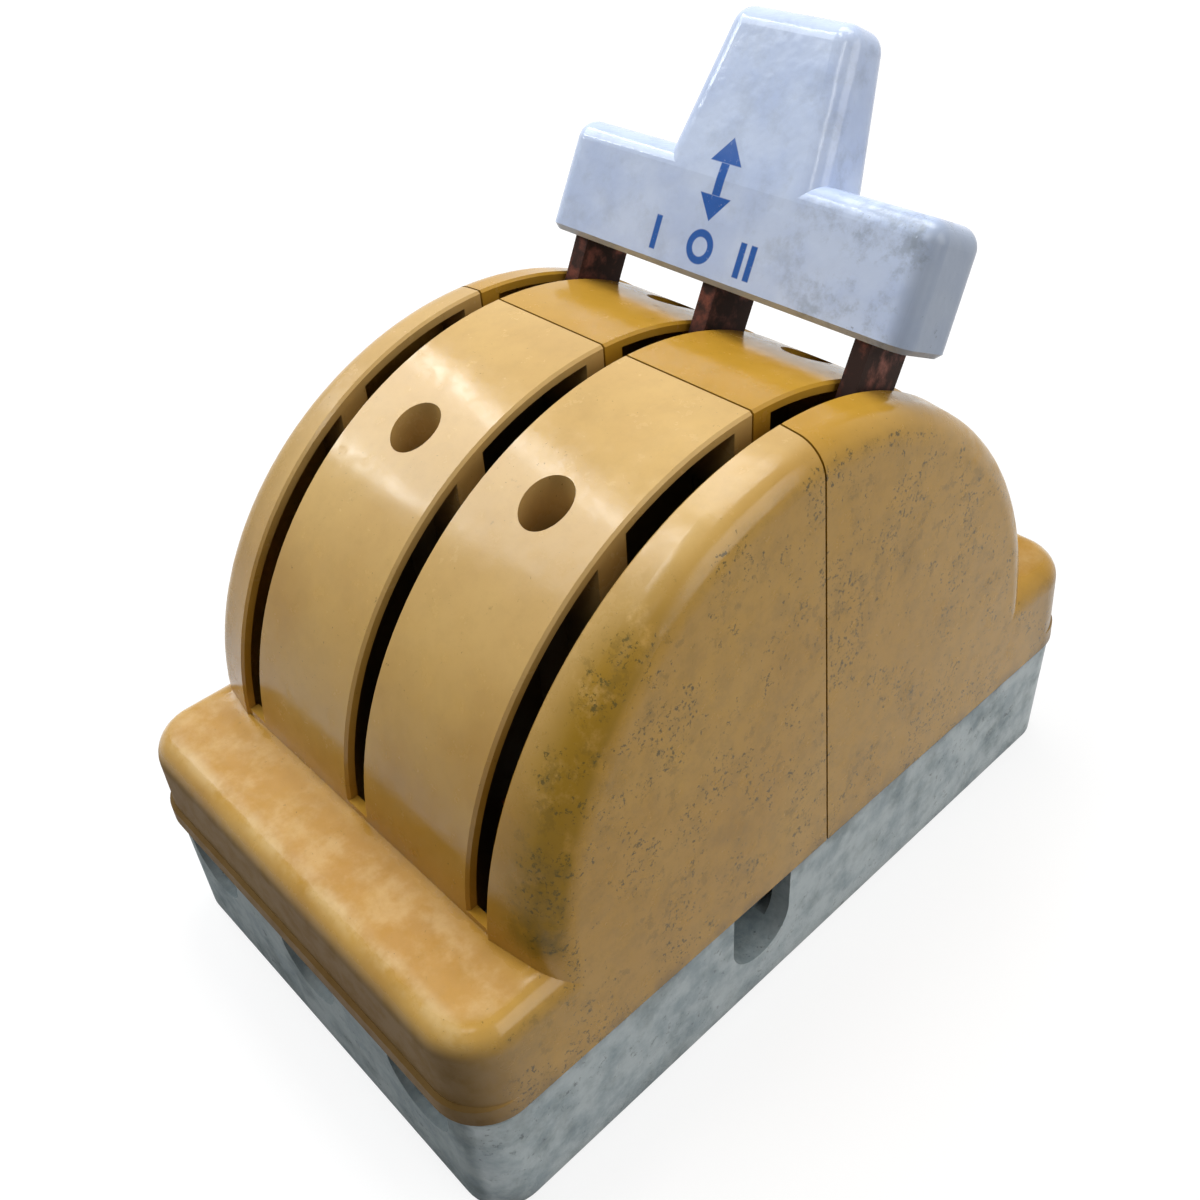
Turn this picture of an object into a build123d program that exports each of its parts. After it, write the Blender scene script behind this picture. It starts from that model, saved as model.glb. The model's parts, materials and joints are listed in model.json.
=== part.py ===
from build123d import *
import os
from math import cos, hypot, radians, sin, sqrt, tan

# Three-pole double-throw knife switch: porcelain base, moulded covers, copper blades and a porcelain handle.
# Millimetres and degrees. X runs across the poles, Y along the throw with the front at -Y, Z is up.
# The origin is the middle of the base's underside, and the handle stands in its off position, leaning back.

# Poles
pole_pitch = 40.0
pole_names = ("left", "middle", "right")

# Porcelain base
pole_margin = 21.0
base_length = 199.0
base_height = 33.0
base_corner = 10.0
base_rim = 1.5
base_side_wall = 5.0
base_end_wall = 7.5
barrier_width = 8.0
deck_thickness = 8.0
head_recess = 2.0
pocket_rib = 12.0
pocket_end = 12.0
pad_height = 3.0
pad_margin = 3.0
foot_recess = 1.5
foot_clearance = 0.3

# Cable entries, round at the bottom and open at the top of the wall
end_entry_width = 20.0
end_entry_depth = 17.0
side_entry_width = 18.5
side_entry_depth = 22.0
side_entry_run = 6.0

# Holes for fixing the base to a panel
mount_hole = 5.5
mount_inset = 17.5
mount_boss = 16.0

# Covers
cover_side_overhang = 0.6
cover_end_overhang = 0.5
cover_wall = 2.2
cover_corner = 12.0
side_draft = 4.4
ledge_height = 25.0
ledge_edge = 7.0
least_edge = 0.5
arch_radius = 79.0
arch_sink = 4.0
cap_rise = 0.8
cap_drop = 3.0
shoulder_radius = 7.5
slot_clearance = 1.0
slot_rise = 1.5
slot_edge = 0.6
seam_gap = 0.5
lip_height = 5.0
lip_depth = 1.0
lip_edge = 0.8

# Ribs and screw wells inside the covers
well_bore = 11.0
well_wall = 2.0
well_floor = 4.0
well_distance = 36.8
cross_rib = 7.0
cross_rib_gap = 2.5
seam_rib = 5.0
seam_rib_depth = 14.0
phase_wall = 3.0
phase_wall_gap = 0.5

# Blades and their pivot
blade_width = 14.0
blade_thickness = 4.0
blade_eye = 17.0
blade_clearance = 0.1
pivot_rise = 4.0
pivot_diameter = 6.0
pivot_clearance = 0.05
lean = 25.8

# Handle
handle_gap = 1.0
handle_wall = 5.0
handle_edge = 4.5
handle_foot_edge = 1.2
bar_margin = 10.0
bar_height = 25.0
bar_draft = 1.0
grip_height = 29.5
grip_base = 42.0
grip_top = 31.0
grip_top_thickness = 13.0
tang_width = 9.0
tang_length = 16.0
socket_clearance = 0.15

# Bent copper contacts
strip = 2.5
foot_width = 20.0
jaw_length = 18.0
jaw_distance = 56.0
jaw_below = 5.0
jaw_above = 10.0
flare_rise = 5.0
flare_reach = 2.5
post_length = 16.0
post_below = 10.0
post_above = 9.0
post_corner = 4.0
taper_rise = 14.0
tail_width = 16.0
tail_margin = 8.0
terminal_inset = 19.5
post_terminal = 21.0

# Bolts, screws and nuts: hole_clearance and thread_clearance are on the radius
hole_clearance = 0.25
thread_clearance = 0.02
screw_end = 1.5
driver_slot = 1.2
terminal_bolt = 6.0
terminal_neck = 6.6
terminal_neck_short = 0.5
terminal_head = 11.0
terminal_head_height = 4.0
terminal_nut_flats = 10.0
terminal_nut_height = 5.0
cover_screw = 5.0
cover_head_flats = 8.0
cover_head_height = 3.5
cover_nut_flats = 8.0
cover_nut_height = 4.0
cover_boss = 14.0
pivot_head_flats = 10.0
pivot_head_height = 4.0
pivot_nut_height = 5.0

# Cutters run past the faces that they open by this much
cut_past = 1.0

# Places worked out from the sizes above
pole_x = [(i - 1) * pole_pitch for i in range(len(pole_names))]
between_x = [-pole_pitch / 2, pole_pitch / 2]
base_width = 2 * (pole_pitch + pole_margin)
deck_bottom = max(terminal_head_height, cover_nut_height) + head_recess
deck_top = deck_bottom + deck_thickness
pad_top = deck_top + pad_height
foot_top = pad_top + strip
cover_width = base_width + 2 * cover_side_overhang
cover_length = base_length / 2 + cover_end_overhang
ledge_top = base_height + ledge_height
arch_middle = ledge_top - arch_sink
slot_width = blade_thickness + 2 * slot_clearance
slot_bottom = ledge_top + slot_rise
cap_start = max(pole_x) + slot_width / 2
above_all = arch_middle + 2 * arch_radius
pivot_height = ledge_top + pivot_rise
handle_start = arch_radius + handle_gap
handle_thickness = tang_width + 2 * handle_wall
bar_length = 2 * (pole_pitch + bar_margin)
mount_distance = base_length / 2 - mount_inset
phase_wall_reach = mount_distance - mount_boss / 2
jaw_terminal = base_length / 2 - terminal_inset
blade_gap = blade_thickness + 2 * blade_clearance
cheek_face = blade_gap / 2 + strip
well_places = [(x, y) for x in between_x for y in (-well_distance, well_distance)]
mount_places = [(x, y) for x in between_x for y in (-mount_distance, mount_distance)]
terminal_places = [(x, y) for y in (-jaw_terminal, jaw_terminal, -post_terminal) for x in pole_x]
handle_place = Pos(0, 0, pivot_height) * Rot(-lean, 0, 0)


def block(x0, x1, y0, y1, z0, z1):
    """Box between two corners."""
    return Pos((x0 + x1) / 2, (y0 + y1) / 2, (z0 + z1) / 2) * Box(x1 - x0, y1 - y0, z1 - z0)


def peg(diameter, z0, z1):
    """Upright cylinder on the Z axis."""
    return Pos(0, 0, (z0 + z1) / 2) * Cylinder(diameter / 2, z1 - z0)


def square(side, z0, z1):
    """Upright square post on the Z axis."""
    half = side / 2
    return block(-half, half, -half, half, z0, z1)


def hexagon(flats, z0, z1):
    """Upright hexagonal prism on the Z axis."""
    outline = RegularPolygon(flats / 2, 6, major_radius=False)
    return Pos(0, 0, z0) * extrude(outline, z1 - z0)


def at_places(shape, places):
    """Copies of a shape at (x, y) places."""
    return [Pos(x, y, 0) * shape for x, y in places]


def wedge(plane, at_foot, at_top, z0, z1, half_depth):
    """Prism across a plane whose section narrows from at_foot wide at z0 to at_top wide at z1."""
    outline = [(-at_foot / 2, z0), (at_foot / 2, z0), (at_top / 2, z1), (-at_top / 2, z1)]
    return extrude(plane * make_face(Polyline(*outline, close=True)), half_depth, both=True)


def rounded_slab(x0, x1, y0, y1, z0, z1, corner):
    """Slab between two corners with rounded upright edges."""
    outline = Pos((x0 + x1) / 2, (y0 + y1) / 2, z0) * RectangleRounded(x1 - x0, y1 - y0, corner)
    return extrude(outline, z1 - z0)


def entry_cut(width, depth, reach):
    """Cutter for a cable entry: along Y from the origin, round at the bottom and open at the base's top."""
    radius = width / 2
    round_middle = base_height - depth + radius
    bottom = Rot(90, 0, 0) * Cylinder(radius, 2 * reach)
    opening = block(-radius, radius, -reach, reach, round_middle, base_height + depth)
    return Pos(0, 0, round_middle) * bottom + opening


def base_drill(diameter):
    """Cutter for a hole right through the base."""
    return peg(diameter, -cut_past, base_height + cut_past)


def make_base():
    """Porcelain block with wiring troughs above, pockets for bolt heads below and bosses for the screws."""
    half_x = base_width / 2
    half_y = base_length / 2
    body = rounded_slab(-half_x, half_x, -half_y, half_y, 0, base_height, base_corner)
    body = chamfer(body.faces().sort_by(Axis.Z)[-1].edges(), base_rim)
    trough_y = half_y - base_end_wall
    trough_end = half_x - base_side_wall
    pocket_x = (pole_pitch - pocket_rib) / 2
    pocket_y = half_y - pocket_end
    pad_x = foot_width / 2 + pad_margin
    foot_x = foot_width / 2 + foot_clearance
    rim = base_height + cut_past
    for x in pole_x:
        x0 = max(x - pole_pitch / 2 + barrier_width / 2, -trough_end)
        x1 = min(x + pole_pitch / 2 - barrier_width / 2, trough_end)
        body -= block(x0, x1, -trough_y, trough_y, deck_top, rim)
        body -= block(x - pocket_x, x + pocket_x, -pocket_y, pocket_y, -cut_past, deck_bottom)
        for y0, y1 in contact_spans():
            pad = block(x - pad_x, x + pad_x, y0, y1, deck_bottom, pad_top + foot_recess)
            body += pad - block(x - foot_x, x + foot_x, y0, y1, pad_top, rim)
    body += at_places(square(cover_boss, 0, base_height), well_places)
    body += at_places(square(mount_boss, 0, base_height), mount_places)
    end_cut = entry_cut(end_entry_width, end_entry_depth, base_end_wall)
    body -= at_places(end_cut, [(x, y) for x in pole_x for y in (-half_y, half_y)])
    side_cut = Rot(0, 0, 90) * entry_cut(side_entry_width, side_entry_depth, base_side_wall + side_entry_run)
    body -= at_places(side_cut, [(x, -post_terminal) for x in (-half_x, half_x)])
    barrier_cut = Rot(0, 0, 90) * entry_cut(side_entry_width, base_height - deck_top, barrier_width)
    body -= at_places(barrier_cut, [(x, -post_terminal) for x in between_x])
    body -= at_places(square(terminal_neck + 2 * hole_clearance, -cut_past, rim), terminal_places)
    body -= at_places(base_drill(cover_screw + 2 * hole_clearance), well_places)
    body -= at_places(hexagon(cover_nut_flats + 2 * hole_clearance, -cut_past, deck_bottom), well_places)
    body -= at_places(base_drill(mount_hole), mount_places)
    return body


def contact_spans():
    """Front and back ends of the three contacts of a pole, along Y."""
    jaw_back = jaw_distance - jaw_length / 2
    jaw_front = jaw_terminal + tail_margin
    post_front = post_terminal + tail_margin
    return [(-jaw_front, -jaw_back), (-post_front, post_length / 2), (jaw_back, jaw_front)]


def flanks(inset):
    """Prism between the covers' sides, which lean in towards the top, moved in by inset."""
    slope = tan(radians(side_draft))
    half_foot = cover_width / 2 - inset / cos(radians(side_draft)) + base_height * slope
    half_top = half_foot - above_all * slope
    return wedge(Plane.XZ, 2 * half_foot, 2 * half_top, 0, above_all, 2 * cover_length)


def quarter_arch(section):
    """Quarter turn of an upright section about the X axis towards the front, with a straight skirt below."""
    return revolve(section, Axis.X, 90) + extrude(Rot(90, 0, 0) * section, arch_middle, dir=(0, 0, -1))


def end_cap(inset):
    """Right end of the arch: slightly conical, with a round shoulder and a flat side that leans in."""
    tilt = radians(side_draft)
    reach = (cover_width / 2 - cap_start) * cos(tilt) - (arch_middle - base_height) * sin(tilt) - inset
    radius = arch_radius + cap_rise - inset
    outline = [(-cap_start, 0), (-cap_start, radius), (0, radius), (reach, radius - cap_drop), (reach, 0)]
    section = Plane.XZ * make_face(Polyline(*outline, close=True))
    outer_top = section.vertices().group_by(Axis.X)[-1].sort_by(Axis.Z)[-1]
    cap = quarter_arch(shoulders([outer_top], inset))
    return Pos(cap_start, 0, arch_middle) * Rot(0, -side_draft, 0) * cap


def cover_form(inset):
    """Solid inside the front cover's skin, moved in by inset: the arch with its end caps, and the ledge."""
    radius = arch_radius - inset
    below = base_height if inset == 0 else base_height - cover_wall
    barrel = quarter_arch(Plane.XZ * Pos(0, radius / 2) * Rectangle(2 * cap_start, radius))
    arch = Pos(0, 0, arch_middle) * barrel & block(-cap_start, cap_start, -cover_length, 0, below, above_all)
    cap = end_cap(inset) & block(cap_start, cover_width, -cover_length, 0, below, above_all)
    ledge = cover_step(inset, cover_length - inset, below, ledge_top - inset)
    if inset == 0:
        ledge = fillet(top_rim(ledge), ledge_edge)
    return arch + cap + mirror(cap, Plane.YZ) + ledge


def shoulders(corners, inset):
    """Face with its corners shaped as the covers' shoulders: round outside, with a flat inside."""
    radius = max(shoulder_radius - inset, least_edge)
    if inset == 0:
        return fillet(corners, radius)
    return chamfer(corners, radius * (2 - sqrt(2)))


def cover_step(inset, reach, z0, z1):
    """Low front step of the cover, with two rounded upright corners."""
    step = block(-cover_width, cover_width, -reach, -arch_radius / 2, z0, z1) & flanks(inset)
    front_corners = step.faces().sort_by(Axis.Y)[0].edges().filter_by(Axis.X, reverse=True)
    return fillet(front_corners, max(cover_corner - inset, least_edge))


def top_rim(step):
    """Upper edges of a cover step, without the one at its back."""
    return step.faces().sort_by(Axis.Z)[-1].edges().sort_by(Axis.Y)[:-1]


def cover_ribs():
    """Inner walls of the front cover: one across at the wells, one at the seam and two between the poles."""
    half = cover_width / 2
    across = block(-half, half, -well_distance - cross_rib / 2, -well_distance + cross_rib / 2,
                   slot_bottom + cross_rib_gap, above_all)
    seam_low = arch_middle + arch_radius - cover_wall - seam_rib_depth
    at_seam = block(-half, half, -seam_rib, 0, seam_low, above_all)
    ribs = across + at_seam
    for x in between_x:
        ribs += block(x - phase_wall / 2, x + phase_wall / 2, -phase_wall_reach, 0,
                      base_height + phase_wall_gap, above_all)
        ribs += Pos(x, -well_distance, 0) * peg(well_bore + 2 * well_wall, base_height, above_all)
    return ribs & cover_form(cover_wall / 2)


def make_front_cover():
    """Moulded shell with an arch over the contacts, a ledge over the terminals and a slot for each blade."""
    lip = cover_step(0, cover_length + lip_depth, base_height, base_height + lip_height)
    cover = cover_form(0) + chamfer(top_rim(lip), lip_edge)
    cover -= cover_form(cover_wall)
    cover += cover_ribs()
    for x in between_x:
        well = peg(well_bore, base_height + well_floor, above_all)
        screw_hole = peg(cover_screw + 2 * hole_clearance, base_height - cut_past, above_all)
        cover -= Pos(x, -well_distance, 0) * (well + screw_hole)
    half_slot = slot_width / 2
    for x in pole_x:
        cover -= block(x - half_slot, x + half_slot, -cover_length, cut_past, slot_bottom, above_all)
    cover -= block(-cover_width, cover_width, -seam_gap / 2, cover_length, 0, above_all)
    return chamfer(slot_rims(cover), slot_edge)


def slot_rims(cover):
    """Outer edges of the slots, which follow the arch."""
    slot_walls = [x + side * slot_width / 2 for x in pole_x for side in (-1, 1)]
    rims = []
    for edge in cover.edges().filter_by(GeomType.LINE, reverse=True):
        middle = edge @ 0.5
        from_wall = min(abs(middle.X - x) for x in slot_walls)
        from_axis = hypot(middle.Y, middle.Z - arch_middle)
        on_skin = from_axis > arch_radius - cover_wall / 2
        if on_skin and from_wall < least_edge and middle.Z > slot_bottom:
            rims.append(edge)
    return rims


def bent_strip(middle_line, thickness):
    """Face of a strip bent at mitred corners: the points run along its middle."""
    count = len(middle_line)
    steps = []
    for (x0, y0), (x1, y1) in zip(middle_line, middle_line[1:]):
        length = hypot(x1 - x0, y1 - y0)
        steps.append(((x1 - x0) / length, (y1 - y0) / length))
    sides = {1: [], -1: []}
    for i, (x, y) in enumerate(middle_line):
        before = steps[max(i - 1, 0)]
        after = steps[min(i, count - 2)]
        share = thickness / 2 / (1 + before[0] * after[0] + before[1] * after[1])
        for side, points in sides.items():
            offset_x = -(before[1] + after[1]) * share * side
            offset_y = (before[0] + after[0]) * share * side
            points.append((x + offset_x, y + offset_y))
    return make_face(Polyline(*sides[1], *reversed(sides[-1]), close=True))


def contact_line(below, above, flare):
    """Middle line of a contact, seen along Y: a wide foot whose cheeks draw in to the blade."""
    foot = (foot_width - strip) / 2
    land = (blade_gap + strip) / 2
    land_bottom = pivot_height - below
    half = [(foot, pad_top + strip / 2), (foot, land_bottom - taper_rise), (land, land_bottom)]
    half.append((land, pivot_height + above))
    if flare:
        half.append((land + flare_reach, pivot_height + above + flare_rise))
    mirrored = [(-x, z) for x, z in reversed(half)]
    return mirrored + half


def contact(length, below, above, flare, terminal, direction):
    """Bent contact on the Z axis with a flat tail that is keyed on the terminal bolt."""
    section = bent_strip(contact_line(below, above, flare), strip)
    clip = extrude(Plane.XZ * section, length / 2, both=True)
    y0, y1 = sorted((0, direction * (terminal + tail_margin)))
    tail = block(-tail_width / 2, tail_width / 2, y0, y1, pad_top, foot_top)
    key_hole = square(terminal_neck + 2 * hole_clearance, 0, foot_top + strip)
    return clip + tail - Pos(0, direction * terminal, 0) * key_hole


def make_jaw(direction):
    """Spring jaw that takes a blade at the end of its throw: direction is -1 in front and 1 at the rear."""
    jaw = contact(jaw_length, jaw_below, jaw_above, True, jaw_terminal - jaw_distance, direction)
    return Pos(0, direction * jaw_distance, 0) * jaw


def make_hinge_post():
    """Post with two drilled cheeks that carries a blade on its pivot bolt."""
    post = contact(post_length, post_below, post_above, False, post_terminal, -1)
    top_corners = post.edges().filter_by(Axis.X).group_by(Axis.Z)[-1]
    post = chamfer(top_corners, post_corner)
    return post - pivot_rod(pivot_diameter + 2 * pivot_clearance, -foot_width, foot_width)


def pivot_rod(diameter, x0, x1):
    """Cylinder along X at the pivot."""
    return Pos((x0 + x1) / 2, 0, pivot_height) * Rot(0, 90, 0) * Cylinder(diameter / 2, x1 - x0)


def make_blade():
    """Copper blade with a round eye at the pivot and a narrow tang that is seated in the handle."""
    outline = Pos(0, handle_start / 2) * Rectangle(blade_width, handle_start) + Circle(blade_eye / 2)
    outline += Pos(0, handle_start + tang_length / 2) * Rectangle(tang_width, tang_length)
    outline -= Circle(pivot_diameter / 2 + pivot_clearance)
    blade = extrude(Plane.YZ * outline, blade_thickness / 2, both=True)
    return handle_place * blade


def rounded_top(body):
    """Handle piece with its rising and upper edges rounded."""
    edges = body.edges().group_by(Axis.Z)
    return fillet(edges[1] + edges[2], handle_edge)


def make_handle():
    """Porcelain T bar with a grip that tapers both ways and a socket for each blade."""
    bar_top = handle_start + bar_height
    bar_end = bar_length - 2 * bar_draft
    bar = rounded_top(wedge(Plane.XZ, bar_length, bar_end, handle_start, bar_top, handle_thickness / 2))
    bar = chamfer(bar.faces().sort_by(Axis.Z)[0].edges(), handle_foot_edge)
    grip_span = (bar_top - handle_edge, bar_top + grip_height)
    grip = wedge(Plane.XZ, grip_base, grip_top, *grip_span, handle_thickness)
    grip &= wedge(Plane.YZ, handle_thickness, grip_top_thickness, *grip_span, grip_base)
    handle = bar + rounded_top(grip)
    socket_x = blade_thickness / 2 + socket_clearance
    socket_y = tang_width / 2 + socket_clearance
    for x in pole_x:
        handle -= block(x - socket_x, x + socket_x, -socket_y, socket_y, 0, handle_start + tang_length)
    return handle_place * handle


def make_nut(thread, flats, z0, z1):
    """Hexagon nut on the Z axis."""
    return hexagon(flats, z0, z1) - peg(thread + 2 * thread_clearance, z0 - cut_past, z1 + cut_past)


def terminal_fixings():
    """Bolts from below whose square necks key the contacts to the base, each with a nut for the wire."""
    neck_top = foot_top - terminal_neck_short
    nut_top = foot_top + terminal_nut_height
    bolt = square(terminal_head, deck_bottom - terminal_head_height, deck_bottom)
    bolt += square(terminal_neck, deck_bottom, neck_top)
    bolt += peg(terminal_bolt, neck_top, nut_top + screw_end)
    nut = make_nut(terminal_bolt, terminal_nut_flats, foot_top, nut_top)
    return {
        "terminal_bolts": at_places(bolt, terminal_places),
        "terminal_nuts": at_places(nut, terminal_places),
    }


def cover_fixings():
    """Slotted screws at the bottom of the wells, in nuts set into the base's underside."""
    seat = base_height + well_floor
    head_top = seat + cover_head_height
    nut_bottom = deck_bottom - cover_nut_height
    screw = peg(cover_screw, nut_bottom, seat) + hexagon(cover_head_flats, seat, head_top)
    reach = cover_head_flats
    half_slot = driver_slot / 2
    screw -= block(-reach, reach, -half_slot, half_slot, head_top - driver_slot, head_top + cut_past)
    nut = make_nut(cover_screw, cover_nut_flats, nut_bottom, deck_bottom)
    return {
        "cover_screws": at_places(screw, well_places),
        "cover_nuts": at_places(nut, well_places),
    }


def pivot_fixings():
    """Pivot bolts along X, each with a nut against the post's left cheek."""
    lie = Pos(0, 0, pivot_height) * Rot(0, 90, 0)
    nut_start = -cheek_face - pivot_nut_height
    bolt = peg(pivot_diameter, nut_start - screw_end, cheek_face)
    bolt += hexagon(pivot_head_flats, cheek_face, cheek_face + pivot_head_height)
    nut = make_nut(pivot_diameter, pivot_head_flats, nut_start, -cheek_face)
    places = [(x, 0.0) for x in pole_x]
    return {
        "pivot_bolts": at_places(lie * bolt, places),
        "pivot_nuts": at_places(lie * nut, places),
    }


def make_parts():
    """Every sub-part by name, each a list of solids."""
    front_cover = make_front_cover()
    parts = {
        "base": [make_base()],
        "front_cover": [front_cover],
        "rear_cover": [Rot(0, 0, 180) * front_cover],
        "handle": [make_handle()],
    }
    per_pole = {
        "blade": make_blade(),
        "hinge_post": make_hinge_post(),
        "front_jaw": make_jaw(-1),
        "rear_jaw": make_jaw(1),
    }
    for kind, shape in per_pole.items():
        for name, x in zip(pole_names, pole_x):
            parts[f"{kind}_{name}"] = [Pos(x, 0, 0) * shape]
    for fixings in (terminal_fixings(), cover_fixings(), pivot_fixings()):
        parts.update(fixings)
    return parts


def main():
    os.makedirs("parts", exist_ok=True)
    for name, shapes in make_parts().items():
        solids = [solid for shape in shapes for solid in shape.solids()]
        export_step(solids[0] if len(solids) == 1 else Compound(solids), f"parts/{name}.step")


main()
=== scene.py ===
import json
from math import cos, radians, sin, tan
from types import SimpleNamespace

import bpy
from mathutils import Matrix, Vector


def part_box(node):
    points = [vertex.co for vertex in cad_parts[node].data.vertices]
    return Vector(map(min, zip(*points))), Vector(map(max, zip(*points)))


# Finishes of the knife switch, the position marks on its handle, the light, the floor and the camera.
# Metres, in the part's own frame: X across the poles, the front at -Y, Z up.

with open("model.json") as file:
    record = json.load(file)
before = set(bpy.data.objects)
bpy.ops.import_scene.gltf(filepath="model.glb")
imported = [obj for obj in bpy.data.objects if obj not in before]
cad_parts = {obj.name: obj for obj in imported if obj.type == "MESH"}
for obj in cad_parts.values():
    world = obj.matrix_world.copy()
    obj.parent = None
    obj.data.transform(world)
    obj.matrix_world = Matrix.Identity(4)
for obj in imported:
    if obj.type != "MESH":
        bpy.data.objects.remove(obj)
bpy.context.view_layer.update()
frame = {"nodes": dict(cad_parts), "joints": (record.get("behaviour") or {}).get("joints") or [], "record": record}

# Camera, fitted to the photograph: angles in degrees, focal length in pixels of a 1200 pixel wide image
IMAGE_WIDTH = 1200
FOCAL_PIXELS = 1221.86
SENSOR_WIDTH = 36.0
CAMERA_AZIMUTH = 49.42
CAMERA_ELEVATION = 38.89
CAMERA_ROLL = -4.27
CAMERA_TARGET = Vector((-0.00405, -0.00518, 0.06885))
CAMERA_DISTANCE = 0.28655
CAMERA_NEAR = 0.01

# Forms of the part that the finishes follow: lengths, the sides' slope as a tangent, the lean in radians
ARCH_RADIUS = 0.079
ARCH_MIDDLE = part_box("front_cover")[1].z - ARCH_RADIUS
JOINT_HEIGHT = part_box("base")[1].z
SIDE_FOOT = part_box("front_cover")[1].x
SIDE_SLOPE = tan(radians(4.4))
COVER_WALL = 0.0022
LEDGE_TOP = 0.058
LEDGE_EDGE = 0.096
SEAM_BLUR = 0.0002
BASE_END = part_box("base")[1].y
PIVOT_HEIGHT = frame["joints"][0]["pos_m"][2]
HANDLE_LEAN = radians(25.8)
HANDLE_FACE = 0.0095
HANDLE_END = 0.049

# Blue marks on the handle's front: throw arrows over the position signs, placed across and up from the pivot
MARK_EDGE = 0.00015
MARK_FACE = 0.0035
ARROW_PLACE = (-0.0033, 0.1005)
ARROW_REACH = 0.0085
ARROW_HEAD = 0.0052
ARROW_HALF_WIDTH = 0.0042
ARROW_SHAFT = 0.0011
SIGN_HEIGHT = 0.0866
SIGN_HALF = 0.0036
SIGN_STROKE = 0.0008
FIRST_SIGN = (-0.0165,)
LAST_SIGN = (0.0075, 0.0103)
OFF_SIGN = -0.0036

# Mould grows where noise passes a level, high where grains are few and low where they crowd
MOULD_SPARSE = 0.71
MOULD_CROWDED = 0.53
MOULD_EDGE = 0.07

# Rays that look for corners and gaps around a point, where shade is painted
CREASE_RAYS = 3

# Floor and light
FLOOR_SIZE = 6.0
FLOOR_DROP = 0.0002
FLOOR_COLOUR = (0.26, 0.26, 0.26)
FLOOR_GLOW = 0.78
FLOOR_FAR_GLOW = 0.98
FLOOR_NEAR = 0.25
FLOOR_FAR = 1.2
WHITE = (1.0, 1.0, 1.0)
WORLD_COLOUR = (0.93, 0.96, 1.0)
WORLD_STRENGTH = 0.12
SEEN_RAYS = ("Is Camera Ray", "Is Glossy Ray", "Is Transmission Ray")
LAMP_AIM = Vector((0.0, 0.0, 0.07))
COOL = (0.93, 0.97, 1.0)
WARM = (1.0, 0.99, 0.97)
# Each lamp: name, place, direction of its long side, width, height, watts, colour
LAMPS = [
    ("window_edge", Vector((-0.660, -0.016, 0.833)), Vector((0.224, -0.257, 0.160)), 0.56, 0.06, 1.5, COOL),
    ("window_foot", Vector((-0.800, -0.400, 0.640)), Vector((0.190, -0.120, 0.060)), 0.28, 0.05, 0.7, COOL),
    ("window_glow", Vector((-0.700, -0.230, 0.745)), Vector((0.210, -0.190, 0.110)), 0.55, 0.36, 2.8, COOL),
    ("ceiling_lamp", Vector((-0.12, 0.30, 1.10)), Vector((1.0, 0.0, 0.0)), 0.90, 0.45, 7.0, WARM),
    ("front_lamp", Vector((-0.26, -0.23, 1.05)), Vector((-0.19, 0.35, 0.0)), 0.42, 0.15, 2.2, WARM),
    ("side_lamp", Vector((0.95, 0.30, 0.50)), Vector((0.0, 1.0, 0.0)), 0.70, 0.70, 4.4, WARM),
    ("corner_lamp", Vector((0.37, -0.47, 0.78)), Vector((1.0, 1.0, 0.0)), 0.26, 0.14, 0.6, WARM),
]


def tone(red, green, blue):
    """Linear colour of an sRGB colour given from 0 to 255."""
    parts = [c / 255 for c in (red, green, blue)]
    return tuple(c / 12.92 if c <= 0.04045 else ((c + 0.055) / 1.055) ** 2.4 for c in parts)


class Graph:
    """Node tree of a material or a world, built by short calls."""

    def __init__(self, owner):
        owner.use_nodes = True
        self.tree = owner.node_tree
        self.tree.nodes.clear()

    def put(self, socket, value):
        """Links a socket to another, or sets its value."""
        if isinstance(value, bpy.types.NodeSocket):
            self.tree.links.new(value, socket)
        elif isinstance(value, tuple) and socket.type == "RGBA":
            socket.default_value = (*value, 1.0)
        else:
            socket.default_value = value

    def node(self, kind, inputs, **settings):
        """New node with its settings made and its inputs filled, by name or by number."""
        made = self.tree.nodes.new(kind)
        for name, value in settings.items():
            setattr(made, name, value)
        for key, value in inputs.items():
            self.put(made.inputs[key], value)
        return made

    def place(self):
        """Coordinates in the frame of the object that is painted."""
        return self.node("ShaderNodeTexCoord", {}).outputs["Object"]

    def math(self, operation, first, second=0.0):
        """Number from one or two numbers."""
        return self.node("ShaderNodeMath", {0: first, 1: second}, operation=operation).outputs[0]

    def joined(self, operation, values):
        """One number from many, by an operation on two at a time."""
        result = values[0]
        for value in values[1:]:
            result = self.math(operation, result, value)
        return result

    def product(self, *values):
        """Where values are shares of the surface, the share that all of them cover."""
        return self.joined("MULTIPLY", values)

    def largest(self, *values):
        """Where values are shares of the surface, the share that any of them covers."""
        return self.joined("MAXIMUM", values)

    def seen(self):
        """1 on rays that show a background and 0 on rays that light the object."""
        path = self.node("ShaderNodeLightPath", {})
        return self.largest(*[path.outputs[name] for name in SEEN_RAYS])


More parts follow.
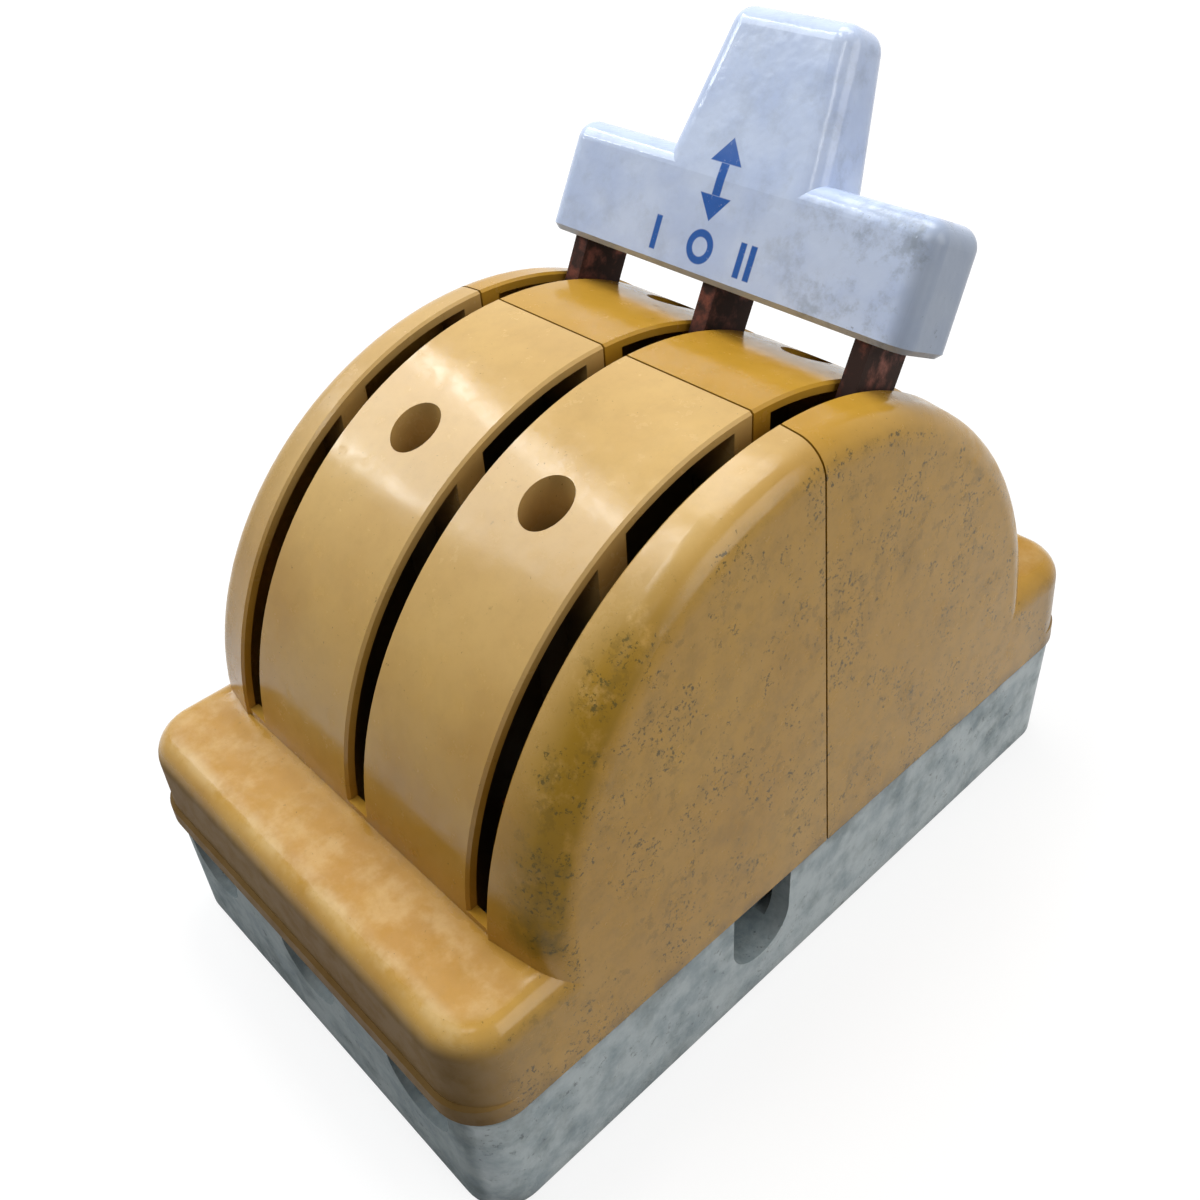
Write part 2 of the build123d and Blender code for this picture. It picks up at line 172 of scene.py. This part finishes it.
class Paint(Graph):
    """Material of one finish. Sizes are metres: a noise of size 0.002 has grains of 2 mm."""

    def __init__(self, name):
        self.material = bpy.data.materials.new(name)
        super().__init__(self.material)
        self.shader = self.node("ShaderNodeBsdfPrincipled", {})
        self.node("ShaderNodeOutputMaterial", {"Surface": self.shader.outputs["BSDF"]})
        self.point = self.place()
        self.x, self.y, self.z = self.node("ShaderNodeSeparateXYZ", {0: self.point}).outputs

    def step(self, value, low, high):
        """Smooth step of a value from 0 at low to 1 at high; low may be the larger."""
        inputs = {"Value": value, "From Min": low, "From Max": high}
        return self.node("ShaderNodeMapRange", inputs, interpolation_type="SMOOTHSTEP").outputs[0]

    def between(self, share, first, second):
        """Number between two numbers."""
        inputs = {"Value": share, "To Min": first, "To Max": second}
        return self.node("ShaderNodeMapRange", inputs).outputs[0]

    def apart(self, value, middle=0.0):
        """How far a value is from a middle, either way."""
        return self.math("ABSOLUTE", self.math("SUBTRACT", value, middle))

    def near(self, value, middle, reach):
        """Near 1 where a value is within reach of a middle, with the soft edge of printed marks."""
        return self.step(self.apart(value, middle), reach + MARK_EDGE, reach - MARK_EDGE)

    def length(self, first, second):
        """Length of a line with these two sides to its right angle."""
        squares = [self.math("MULTIPLY", side, side) for side in (first, second)]
        return self.math("SQRT", self.math("ADD", *squares))

    def turned(self, across, up, angle):
        """Two coordinates turned by an angle, in radians."""
        pairs = ((cos(angle), -sin(angle)), (sin(angle), cos(angle)))
        parts = [(self.math("MULTIPLY", across, c), self.math("MULTIPLY", up, s)) for c, s in pairs]
        return [self.math("ADD", *pair) for pair in parts]

    def stretched(self, scale):
        """Places multiplied by a factor along each axis, for grains that run one way."""
        return self.node("ShaderNodeVectorMath", {0: self.point, 1: scale}, operation="MULTIPLY").outputs[0]

    def noise(self, size, detail=3.0, roughness=0.55, place=None, seed=0.0):
        """Cloudy grains of a size; each seed, in metres along X, shows another stretch of them."""
        start = {0: place or self.point, 1: (seed, 0.0, 0.0)}
        moved = self.node("ShaderNodeVectorMath", start, operation="ADD").outputs[0]
        inputs = {"Vector": moved, "Scale": 1 / size, "Detail": detail, "Roughness": roughness}
        return self.node("ShaderNodeTexNoise", inputs).outputs[0]

    def patches(self, size, low, high, detail=4.0, roughness=0.55, seed=0.0):
        """Patches of noise: 0 where it is under low and 1 where it is over high."""
        return self.step(self.noise(size, detail, roughness, seed=seed), low, high)

    def mould(self, size, cluster, amount, seed=0.0):
        """Ragged dark grains of a size that gather in clusters; amount sets how dense they get."""
        grains = self.noise(size, detail=6.0, roughness=0.75, seed=seed)
        clusters = self.patches(cluster, 0.34, 0.60, roughness=0.65, seed=seed + 1.0)
        level = self.between(self.product(clusters, amount), MOULD_SPARSE, MOULD_CROWDED)
        return self.step(self.math("SUBTRACT", grains, level), 0.0, MOULD_EDGE)

    def crease(self, reach):
        """Near 1 in corners and gaps within reach, 0 on open faces: the share of painted shade there."""
        around = self.node("ShaderNodeAmbientOcclusion", {"Distance": reach}, samples=CREASE_RAYS)
        return self.math("SUBTRACT", 1.0, around.outputs["AO"])

    def mix(self, share, first, second):
        """Colour between two colours, by the mix node's own sockets for colours."""
        return self.node("ShaderNodeMix", {0: share, 6: first, 7: second}, data_type="RGBA").outputs[2]

    def layered(self, colour, layers):
        """Colour under layers of (share of the surface, strength, colour), the last one on top."""
        for share, strength, tint in layers:
            colour = self.mix(self.math("MULTIPLY", share, strength), colour, tint)
        return colour

    def raised(self, start, additions):
        """Number raised from a start by additions of (share of the surface, amount)."""
        amounts = [self.math("MULTIPLY", share, amount) for share, amount in additions]
        return self.joined("ADD", [start, *amounts])

    def relief(self, layers):
        """Normal bent by layers of (height, depth in metres)."""
        normal = None
        for height, depth in layers:
            bump = self.node("ShaderNodeBump", {"Height": height, "Distance": depth})
            if normal:
                self.put(bump.inputs["Normal"], normal)
            normal = bump.outputs[0]
        return normal

    def done(self, colour, roughness, normal, **constants):
        """Fills the shader; constants are the same all over the surface."""
        self.put(self.shader.inputs["Base Color"], colour)
        self.put(self.shader.inputs["Roughness"], roughness)
        self.put(self.shader.inputs["Normal"], normal)
        for name, value in constants.items():
            self.shader.inputs[name.replace("_", " ")].default_value = value
        return self.material


def cover_areas(paint):
    """Areas of the covers, each a share from 0 to 1, and turn, the angle up the arch in radians. Some areas mark
    painted shade and one marks painted sheen.
    """
    x, y, z = paint.x, paint.y, paint.z
    step, product = paint.step, paint.product
    across, depth = paint.apart(x), paint.apart(y)
    rise = paint.math("SUBTRACT", z, ARCH_MIDDLE)
    reach = paint.length(y, rise)
    turn = paint.math("ARCTAN2", rise, depth)
    half_width = paint.between(paint.math("SUBTRACT", z, JOINT_HEIGHT), SIDE_FOOT, SIDE_FOOT - SIDE_SLOPE)
    inset = paint.math("SUBTRACT", half_width, across)
    front_right = product(step(x, 0.0, 0.02), step(y, 0.0, -0.03))
    return SimpleNamespace(
        turn=turn,
        side=step(inset, 0.0014, 0.0004),
        rear=step(y, -SEAM_BLUR, SEAM_BLUR),
        # Painted sheen: the upper front arch made paler
        upper=product(step(turn, 0.35, 0.95), step(y, SEAM_BLUR, -SEAM_BLUR), step(inset, 0.0004, 0.0060)),
        shoulder=product(step(inset, 0.015, 0.004), step(inset, 0.0, 0.001),
                         step(z, LEDGE_TOP, LEDGE_TOP + 0.008), paint.between(front_right, 0.4, 1.0)),
        ledge=product(step(depth, ARCH_RADIUS, ARCH_RADIUS + 0.004),
                      step(z, LEDGE_TOP - 0.001, LEDGE_TOP - 0.0001)),
        edge=product(step(depth, LEDGE_EDGE - 0.003, LEDGE_EDGE - 0.0003),
                     step(depth, LEDGE_EDGE + 0.0025, LEDGE_EDGE + 0.0002),
                     step(z, LEDGE_TOP - 0.005, LEDGE_TOP - 0.003)),
        # Painted shade: the ledge's end faces, front and rear, darkened below the top edge
        front=product(step(depth, BASE_END - 0.011, BASE_END),
                      step(z, LEDGE_TOP - 0.002, LEDGE_TOP - 0.0065)),
        # Painted shade: the ledge's rounded corners below its top
        corner_shade=product(step(across, SIDE_FOOT - 0.0116, SIDE_FOOT - 0.0016),
                       step(depth, ARCH_RADIUS - 0.001, LEDGE_EDGE - 0.001),
                       step(z, LEDGE_TOP - 0.002, LEDGE_TOP - 0.009)),
        foot=step(z, JOINT_HEIGHT + 0.0045, JOINT_HEIGHT),
        # Painted shade: near-black inside the arch, on the slot walls and down the wells
        inner=product(step(reach, ARCH_RADIUS - 0.0035, ARCH_RADIUS - 0.017),
                      step(inset, COVER_WALL - 0.0001, COVER_WALL + 0.0002)),
    )


def cover_plastic():
    """Glossy yellow-ochre moulding: clouded colour, olive stain on the shoulders, mould, scuffs and dirt, with
    painted shade in creases, inside the covers, on the ledge's end faces and corners, a painted sheen on the upper
    front arch and a painted highlight on the ledge's top edge.
    """
    paint = Paint("cover_plastic")
    areas = cover_areas(paint)
    step, between, product, patches = paint.step, paint.between, paint.product, paint.patches
    # pale colours worn scuffs and also painted sheen and a painted highlight
    ochre, deep, gold, pale_wear_and_sheen = tone(196, 153, 70), tone(178, 132, 44), tone(184, 138, 38), tone(220, 192, 140)
    # soil colours real dirt and also painted shade; black is painted shade inside the covers
    olive, umber, soil_and_shade, black = tone(146, 109, 0), tone(86, 70, 0), tone(66, 44, 4), tone(44, 38, 10)
    rust, mildew = tone(160, 112, 34), tone(80, 66, 0)

    scuffs = product(areas.ledge, patches(0.011, 0.42, 0.66, detail=6.0, roughness=0.65, seed=2.0))
    # Paler patches along the ledge's front top edge: wear and a painted highlight
    edge_wear_and_highlight = product(areas.edge, patches(0.014, 0.36, 0.58, detail=5.0, roughness=0.65, seed=12.0))
    stain = product(areas.shoulder, step(areas.turn, 1.25, 0.8),
                    patches(0.009, 0.27, 0.50, detail=6.0, roughness=0.70, seed=4.0))
    low_stain = product(areas.shoulder, step(areas.turn, 0.55, 0.1),
                        patches(0.006, 0.40, 0.60, detail=6.0, roughness=0.70, seed=8.0))
    off_shoulder = paint.math("SUBTRACT", 1.0, areas.shoulder)
    film = product(patches(0.022, 0.50, 0.74, detail=6.0, roughness=0.70, seed=7.0),
                   between(areas.side, 0.08, 0.2), off_shoulder)
    mouldy = paint.largest(between(areas.side, 0.45, 1.0), paint.math("MULTIPLY", stain, 1.5))
    blotches = paint.mould(0.0042, 0.020, mouldy, seed=2.0)
    smears = product(between(areas.side, 0.3, 1.0),
                     patches(0.005, 0.42, 0.66, detail=7.0, roughness=0.75, seed=9.0))
    spots = paint.mould(0.0011, 0.013, mouldy, seed=5.0)
    # Painted shade: soil colour in corners and gaps, found by ambient occlusion rays
    crease_shade = product(step(paint.crease(0.004), 0.30, 0.85), between(paint.noise(0.004, detail=4.0), 0.4, 1.0))
    foot_dirt = product(areas.foot, patches(0.006, 0.3, 0.7, detail=5.0))
    mottle = patches(0.0045, 0.40, 0.70, detail=5.0, roughness=0.70, seed=5.0)

    colour = paint.layered(paint.mix(patches(0.035, 0.32, 0.68), ochre, deep), [
        (areas.rear, 0.6, gold), (areas.side, 0.55, gold), (areas.upper, 0.4, pale_wear_and_sheen),
        (areas.ledge, 0.5, rust), (scuffs, 0.3, pale_wear_and_sheen), (edge_wear_and_highlight, 0.5, pale_wear_and_sheen),
        (stain, 1.0, olive), (low_stain, 0.6, umber), (film, 1.0, soil_and_shade),
        (blotches, 0.3, umber), (smears, 0.2, umber), (spots, 0.9, mildew),
        (crease_shade, 0.6, soil_and_shade), (foot_dirt, 0.5, soil_and_shade), (areas.front, 0.82, soil_and_shade),
        (areas.corner_shade, 0.45, soil_and_shade), (areas.inner, 0.95, black),
    ])
    roughness = paint.raised(0.15, [
        (film, 0.35), (mottle, 0.14), (areas.ledge, 0.28), (areas.front, 0.55), (stain, 0.25),
        (areas.inner, 0.5),
    ])
    waves = (paint.noise(0.012, detail=2.0), 0.00012)
    grain = (paint.noise(0.0007, detail=2.0, roughness=0.6), 0.000010)
    return paint.done(colour, roughness, paint.relief([waves, grain]), IOR=1.5, Specular_IOR_Level=0.36)


def base_porcelain():
    """Dull blue-grey glaze, finely mottled, with dirt patches, dark grains, an uneven fired surface and painted
    shade in corners and recesses.
    """
    paint = Paint("base_porcelain")
    step, between, product, patches = paint.step, paint.between, paint.product, paint.patches
    grey, blue, dirt, black = tone(180, 191, 193), tone(134, 150, 156), tone(96, 104, 103), tone(42, 46, 46)
    clouds = patches(0.013, 0.46, 0.72, detail=6.0, roughness=0.68, seed=3.0)
    spots = paint.mould(0.0020, 0.016, 0.8, seed=6.0)
    ends = step(paint.apart(paint.y), BASE_END - 0.002, BASE_END - 0.0005)
    under_covers = product(step(paint.z, JOINT_HEIGHT - 0.004, JOINT_HEIGHT), patches(0.007, 0.3, 0.65))
    # Painted shade: near-black in corners, gaps and the entries, found by ambient occlusion rays
    crease_shade = product(step(paint.crease(0.010), 0.25, 0.75), between(paint.noise(0.006, detail=4.0), 0.6, 1.0))
    colour = paint.layered(paint.mix(patches(0.008, 0.36, 0.70, detail=6.0, roughness=0.66), grey, blue), [
        (clouds, 0.45, dirt), (spots, 0.55, black), (ends, 0.4, dirt), (under_covers, 0.55, black),
        (crease_shade, 0.85, black),
    ])
    roughness = paint.raised(between(clouds, 0.36, 0.6), [(ends, 0.3)])
    waves = (paint.noise(0.008), 0.0004)
    pits = (paint.noise(0.0012, roughness=0.6), 0.00005)
    return paint.done(colour, roughness, paint.relief([waves, pits]), IOR=1.5, Specular_IOR_Level=0.4)


def handle_marks(paint):
    """Share of blue print on the handle: an arrow each way over the signs I, O and II."""
    step, near, product = paint.step, paint.near, paint.product
    arrow_x, arrow_height = ARROW_PLACE
    height = paint.math("SUBTRACT", paint.z, PIVOT_HEIGHT)
    depth, up = paint.turned(paint.y, height, HANDLE_LEAN)
    front = step(depth, MARK_FACE - HANDLE_FACE, -HANDLE_FACE)
    from_tip = paint.math("SUBTRACT", ARROW_REACH, paint.apart(up, arrow_height))
    head_edge = paint.math("MULTIPLY", from_tip, ARROW_HALF_WIDTH / ARROW_HEAD)
    inside = paint.math("SUBTRACT", head_edge, paint.apart(paint.x, arrow_x))
    head = product(step(inside, -MARK_EDGE, MARK_EDGE),
                   step(from_tip, ARROW_HEAD + MARK_EDGE, ARROW_HEAD - MARK_EDGE))
    shaft = product(near(paint.x, arrow_x, ARROW_SHAFT),
                    step(from_tip, ARROW_HEAD - MARK_EDGE, ARROW_HEAD + MARK_EDGE))
    in_row = near(up, SIGN_HEIGHT, SIGN_HALF)
    bars = [product(in_row, near(paint.x, bar, SIGN_STROKE)) for bar in FIRST_SIGN + LAST_SIGN]
    from_off = paint.length(paint.apart(paint.x, OFF_SIGN), paint.apart(up, SIGN_HEIGHT))
    ring = near(from_off, SIGN_HALF - SIGN_STROKE, SIGN_STROKE)
    worn = paint.patches(0.0011, 0.30, 0.42, roughness=0.70, seed=11.0)
    return product(front, paint.largest(head, shaft, ring, *bars), paint.between(worn, 0.75, 1.0))


def handle_porcelain():
    """Shiny bluish-white wavy glaze, grey at the right end, with small pits and blue position marks."""
    paint = Paint("handle_porcelain")
    step, between, patches = paint.step, paint.between, paint.patches
    white, blue, grey = tone(202, 216, 242), tone(187, 203, 235), tone(122, 131, 140)
    ink, black = tone(0, 84, 170), tone(56, 57, 56)
    rightward = step(paint.x, 0.005, HANDLE_END - 0.004)
    end_face = step(paint.x, HANDLE_END - 0.005, HANDLE_END)
    clouds = paint.product(patches(0.008, 0.46, 0.70, detail=6.0, roughness=0.70, seed=3.0),
                           between(rightward, 0.18, 0.7))
    smoke = paint.largest(clouds, paint.math("MULTIPLY", end_face, 0.55))
    spots = paint.mould(0.0013, 0.010, between(rightward, 0.1, 0.6), seed=5.0)
    colour = paint.layered(paint.mix(patches(0.012, 0.35, 0.70), white, blue), [
        (smoke, 1.0, grey), (spots, 0.5, black), (handle_marks(paint), 1.0, ink),
    ])
    roughness = between(smoke, 0.14, 0.42)
    waves = (paint.noise(0.006, detail=2.0, roughness=0.5), 0.00018)
    bubbles = (paint.noise(0.0022, detail=2.0, roughness=0.5, seed=2.0), 0.00004)
    return paint.done(colour, roughness, paint.relief([waves, bubbles]), IOR=1.52, Specular_IOR_Level=0.4)


def copper(name, clean, oxide, share, gloss):
    """Copper with an oxide film: share is how much the film covers, gloss the bare metal's roughness."""
    paint = Paint(name)
    film = paint.patches(0.006, 0.75 - share, 1.05 - share, detail=5.0, roughness=0.65)
    colour = paint.mix(film, clean, oxide)
    roughness = paint.between(film, gloss, gloss + 0.3)
    scratches = (paint.noise(0.0012, roughness=0.6, place=paint.stretched((1.0, 6.0, 0.5))), 0.00003)
    return paint.done(colour, roughness, paint.relief([scratches]), Metallic=0.85)


def fastener_steel():
    """Zinc-plated steel, dulled by age."""
    paint = Paint("fastener_steel")
    film = paint.patches(0.003, 0.35, 0.70, roughness=0.6)
    colour = paint.mix(film, tone(150, 149, 143), tone(104, 98, 86))
    roughness = paint.between(film, 0.40, 0.60)
    grain = (paint.noise(0.0008, detail=2.0), 0.00002)
    return paint.done(colour, roughness, paint.relief([grain]), Metallic=1.0)


def finish_nodes():
    """Gives every CAD node the finish of its material slot."""
    finishes = {
        "base_porcelain": base_porcelain(),
        "cover_plastic": cover_plastic(),
        "handle_porcelain": handle_porcelain(),
        "blade_copper": copper("blade_copper", tone(112, 62, 48), tone(52, 38, 34), share=0.50, gloss=0.42),
        "contact_copper": copper("contact_copper", tone(190, 120, 80), tone(120, 74, 50),
                                 share=0.25, gloss=0.25),
        "fastener_steel": fastener_steel(),
    }
    for part in frame["record"]["subparts"]:
        for slot in frame["nodes"][part["node"]].material_slots:
            slot.material = finishes[part["material_slot"]]


def make_world():
    """Pale sky light, seen as plain white."""
    world = bpy.data.worlds.new("studio")
    bpy.context.scene.world = world
    graph = Graph(world)
    light = graph.node("ShaderNodeBackground", {"Color": WORLD_COLOUR, "Strength": WORLD_STRENGTH})
    white = graph.node("ShaderNodeBackground", {"Color": WHITE})
    both = graph.node("ShaderNodeMixShader", {0: graph.seen(), 1: light.outputs[0], 2: white.outputs[0]})
    graph.node("ShaderNodeOutputWorld", {"Surface": both.outputs[0]})


def floor_finish():
    """Matt floor that keeps the shadow. Its glow, brighter far away, is seen but lights nothing."""
    material = bpy.data.materials.new("floor")
    graph = Graph(material)
    distance = graph.node("ShaderNodeVectorMath", {0: graph.place()}, operation="LENGTH").outputs["Value"]
    limits = {"From Min": FLOOR_NEAR, "From Max": FLOOR_FAR, "To Min": FLOOR_GLOW, "To Max": FLOOR_FAR_GLOW}
    fade = graph.node("ShaderNodeMapRange", {"Value": distance, **limits})
    matt = graph.node("ShaderNodeBsdfDiffuse", {"Color": FLOOR_COLOUR})
    glow = graph.node("ShaderNodeEmission", {"Strength": graph.product(graph.seen(), fade.outputs[0])})
    both = graph.node("ShaderNodeAddShader", {0: matt.outputs[0], 1: glow.outputs[0]})
    graph.node("ShaderNodeOutputMaterial", {"Surface": both.outputs[0]})
    return material


def make_floor():
    """Square floor just under the part."""
    half = FLOOR_SIZE / 2
    corners = [(x, y, -FLOOR_DROP) for x, y in ((-half, -half), (half, -half), (half, half), (-half, half))]
    mesh = bpy.data.meshes.new("floor")
    mesh.from_pydata(corners, [], [(0, 1, 2, 3)])
    mesh.materials.append(floor_finish())
    floor = bpy.data.objects.new("floor", mesh)
    bpy.context.scene.collection.objects.link(floor)


def make_lamps():
    """Soft oblong lamps, each turned to the object."""
    for name, place, along, width, height, watts, colour in LAMPS:
        light = bpy.data.lights.new(name, "AREA")
        light.shape = "RECTANGLE"
        light.size = width
        light.size_y = height
        light.energy = watts
        light.color = colour
        lamp = bpy.data.objects.new(name, light)
        back = (place - LAMP_AIM).normalized()
        side = (along - back * along.dot(back)).normalized()
        turned = Matrix((side, back.cross(side), back)).transposed().to_4x4()
        lamp.matrix_world = Matrix.Translation(place) @ turned
        lamp.visible_camera = False
        bpy.context.scene.collection.objects.link(lamp)


def make_camera():
    """Camera at the photograph's place and angle."""
    azimuth, elevation, roll = radians(CAMERA_AZIMUTH), radians(CAMERA_ELEVATION), radians(CAMERA_ROLL)
    back = Vector((sin(azimuth) * cos(elevation), -cos(azimuth) * cos(elevation), sin(elevation)))
    level_right = Vector((cos(azimuth), sin(azimuth), 0.0))
    level_up = back.cross(level_right)
    right = level_right * cos(roll) + level_up * sin(roll)
    up = level_up * cos(roll) - level_right * sin(roll)
    data = bpy.data.cameras.new("camera")
    data.sensor_width = SENSOR_WIDTH
    data.lens = FOCAL_PIXELS / IMAGE_WIDTH * SENSOR_WIDTH
    data.clip_start = CAMERA_NEAR
    camera = bpy.data.objects.new("camera", data)
    turned = Matrix((right, up, back)).transposed().to_4x4()
    camera.matrix_world = Matrix.Translation(CAMERA_TARGET + back * CAMERA_DISTANCE) @ turned
    bpy.context.scene.collection.objects.link(camera)
    bpy.context.scene.camera = camera


finish_nodes()
make_world()
make_floor()
make_lamps()
make_camera()
bpy.context.scene.view_settings.view_transform = "Standard"
